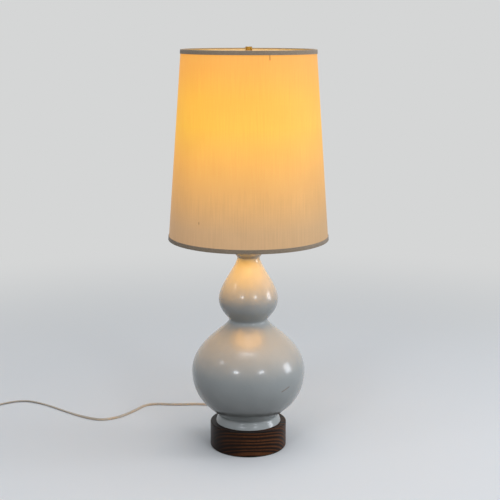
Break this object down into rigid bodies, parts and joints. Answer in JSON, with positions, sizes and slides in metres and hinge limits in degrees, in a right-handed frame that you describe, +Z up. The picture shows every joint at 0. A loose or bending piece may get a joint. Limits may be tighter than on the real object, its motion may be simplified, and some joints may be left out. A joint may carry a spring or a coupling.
{
  "type": "table lamp",
  "caption": "Table lamp with a glazed double gourd body on a turned wood base, harp and screw-base bulb under a tall tapered silk shade, with its flat cord and plug.",
  "frame": {"origin": "on the table under the middle of the round wood base, on the axis of the base, gourd and shade", "axes": "+Z up along the lamp's axis, +X to the lamp's right seen from the front, +Y to its back where the cord leaves the base"},
  "size_m": [0.7995, 0.437, 0.781],
  "materials": {
    "felt": "green wool felt",
    "wood": "dark oiled hardwood with strong grain",
    "plastic_dark": "moulded",
    "steel": "zinc plated",
    "glaze": "pale celadon glaze, satin gloss",
    "brass": "polished brass",
    "brass_dull": "thin drawn brass",
    "liner_card": "insulating card",
    "phenolic": "moulded phenolic",
    "aluminium": "drawn",
    "bulb_glass": "soft white coated inside",
    "glass_black": "black insulator",
    "silk": "ivory slub silk",
    "styrene": "translucent white sheet",
    "tape": "taupe woven tape",
    "wire_painted": "off-white coating on steel wire",
    "cord_clear": "clear vinyl over silver and copper strands",
    "wire_jacket": "vinyl",
    "plug_plastic": "moulded vinyl",
    "blade_brass": "stamped",
    "tie_black": "woven hook and loop band"
  },
  "bodies": {
    "base": {"base_felt": "felt", "wood_base": "wood", "cord_bushing": "plastic_dark", "base_washer": "steel", "base_nut": "steel", "threaded_rod": "steel", "gourd_vase": "glaze", "vase_cap": "brass", "brass_column": "brass", "lock_nut": "brass", "harp_saddle": "brass", "harp": "brass", "socket_cap": "brass", "socket_set_screw": "steel", "socket_shell": "brass_dull", "socket_liner": "liner_card", "socket_body": "phenolic", "terminal_screws": "steel", "screw_shell": "aluminium", "centre_contact": "brass_dull", "inner_cord": "cord_clear", "wire_leads": "wire_jacket", "power_cord": "cord_clear", "cord_coil": "cord_clear", "coil_tie": "tie_black", "plug_body": "plug_plastic", "plug_blades": "blade_brass"},
    "sleeve_left": {"harp_sleeve_left": "brass"},
    "sleeve_right": {"harp_sleeve_right": "brass"},
    "switch": {"switch_shaft": "steel", "switch_knob": "phenolic"},
    "bulb": {"bulb_glass": "bulb_glass", "bulb_base": "aluminium", "bulb_tip": "glass_black"},
    "shade": {"shade_fabric": "silk", "shade_liner": "styrene", "bottom_trim": "tape", "bottom_ring": "wire_painted", "top_trim": "tape", "shade_spider": "brass"},
    "finial": {"finial": "brass"}
  },
  "joints": [
    {"name": "switch_turn", "type": "hinge", "parent": "base", "child": "switch", "pos_m": [0, -0.02, 0.5412], "axis": [0, -1, 0], "continuous": true},
    {"name": "bulb_turn", "type": "hinge", "parent": "base", "child": "bulb", "pos_m": [0, 0, 0.6], "axis": [0, 0, 1], "continuous": true},
    {"name": "shade_turn", "type": "hinge", "parent": "base", "child": "shade", "pos_m": [0, 0, 0.763], "axis": [0, 0, 1], "continuous": true},
    {"name": "finial_turn", "type": "hinge", "parent": "base", "child": "finial", "pos_m": [0, 0, 0.77], "axis": [0, 0, 1], "continuous": true},
    {"name": "sleeve_left_slide", "type": "slide", "parent": "base", "child": "sleeve_left", "axis": [0, 0, 1], "range_m": [0, 0.01]},
    {"name": "sleeve_right_slide", "type": "slide", "parent": "base", "child": "sleeve_right", "axis": [0, 0, 1], "range_m": [0, 0.01]}
  ]
}
